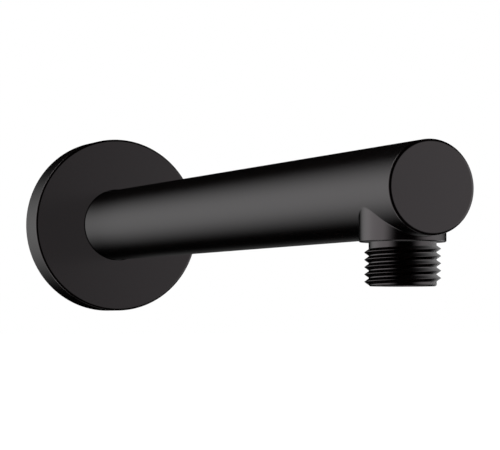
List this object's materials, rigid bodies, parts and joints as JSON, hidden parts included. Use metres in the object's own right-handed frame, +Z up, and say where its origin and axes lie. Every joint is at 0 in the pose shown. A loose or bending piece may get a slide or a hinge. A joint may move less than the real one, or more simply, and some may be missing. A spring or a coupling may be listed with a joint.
{
  "type": "shower arm",
  "caption": "Wall-mounted straight round shower arm in matte black, with a round cover flange at the wall and a threaded outlet pointing down near its closed front end.",
  "frame": {"origin": "on the wall face, on the arm's axis, where the inlet thread starts", "axes": "+Y back into the wall along the inlet, -Y out along the arm, +Z up, the outlet points along -Z"},
  "size_m": [0.064, 0.275, 0.064],
  "materials": {
    "black_coat": "matte black coat on brass",
    "turned_brass": "bare, turned",
    "screw_steel": "stainless steel",
    "seal_rubber": "black sealing rubber"
  },
  "bodies": {
    "root": {"arm_body": "black_coat", "outlet_nipple": "black_coat", "wall_flange": "black_coat", "wall_nipple": "turned_brass", "grub_screw": "screw_steel", "spigot_ring_back": "seal_rubber", "spigot_ring_front": "seal_rubber", "flange_ring": "seal_rubber"}
  },
  "joints": []
}
